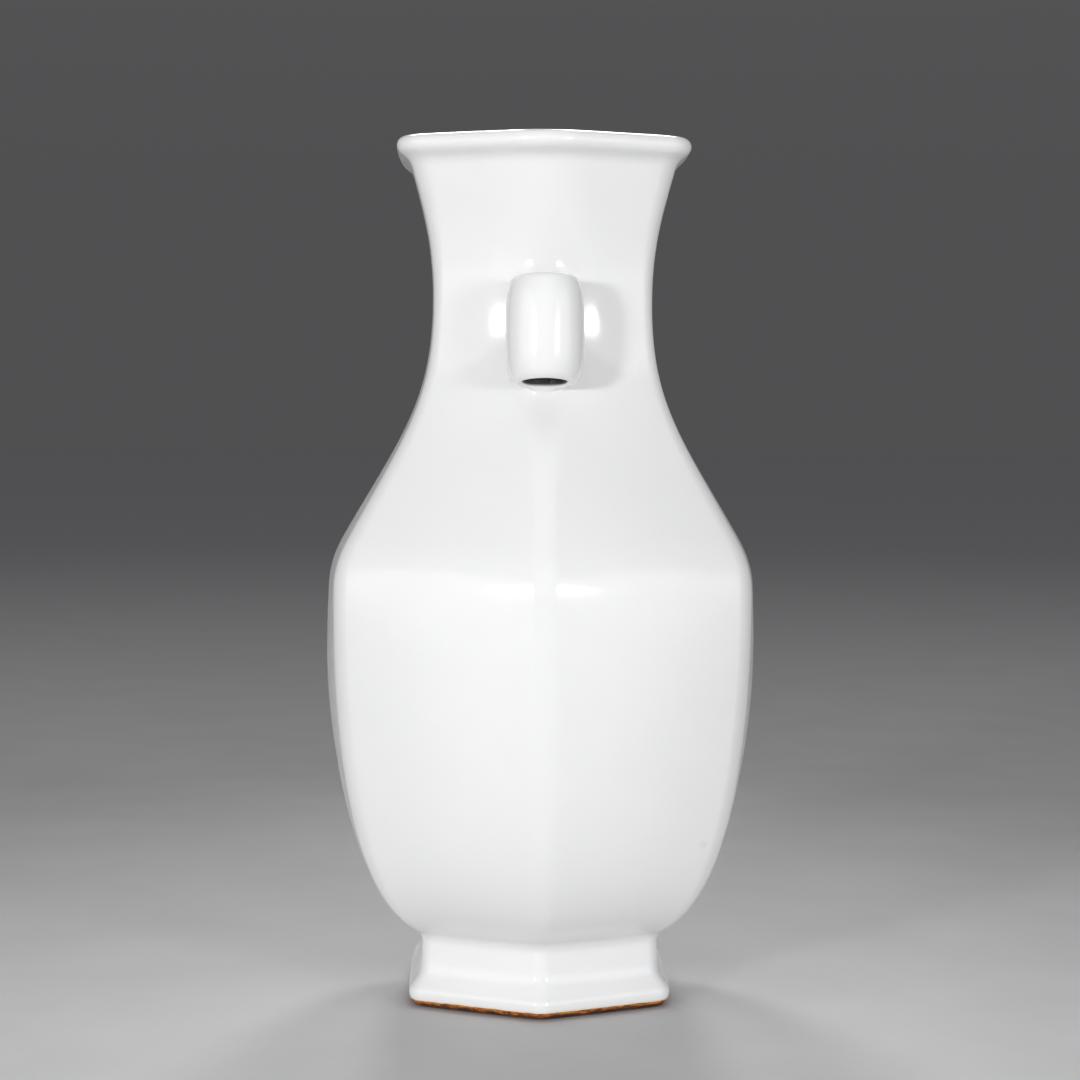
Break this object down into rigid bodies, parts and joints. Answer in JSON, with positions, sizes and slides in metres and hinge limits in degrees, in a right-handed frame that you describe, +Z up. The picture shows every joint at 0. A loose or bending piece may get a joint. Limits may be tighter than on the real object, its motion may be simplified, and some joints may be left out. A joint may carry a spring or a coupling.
{
  "type": "hexagonal vase",
  "caption": "Compressed hexagonal vase in white glaze, with a waisted neck, a rolled lip, a splayed foot and a pierced tubular lug on each end ridge.",
  "frame": {"origin": "under the middle of the foot, on the surface that the vase stands on", "axes": "+Z up out of the mouth, Y along the long way of the hexagonal plan with a lug at each end, X across the two broad faces"},
  "size_m": [0.1516, 0.1772, 0.3],
  "materials": {
    "white_glaze": "gloss"
  },
  "bodies": {
    "root": {"vase": "white_glaze"}
  },
  "joints": []
}
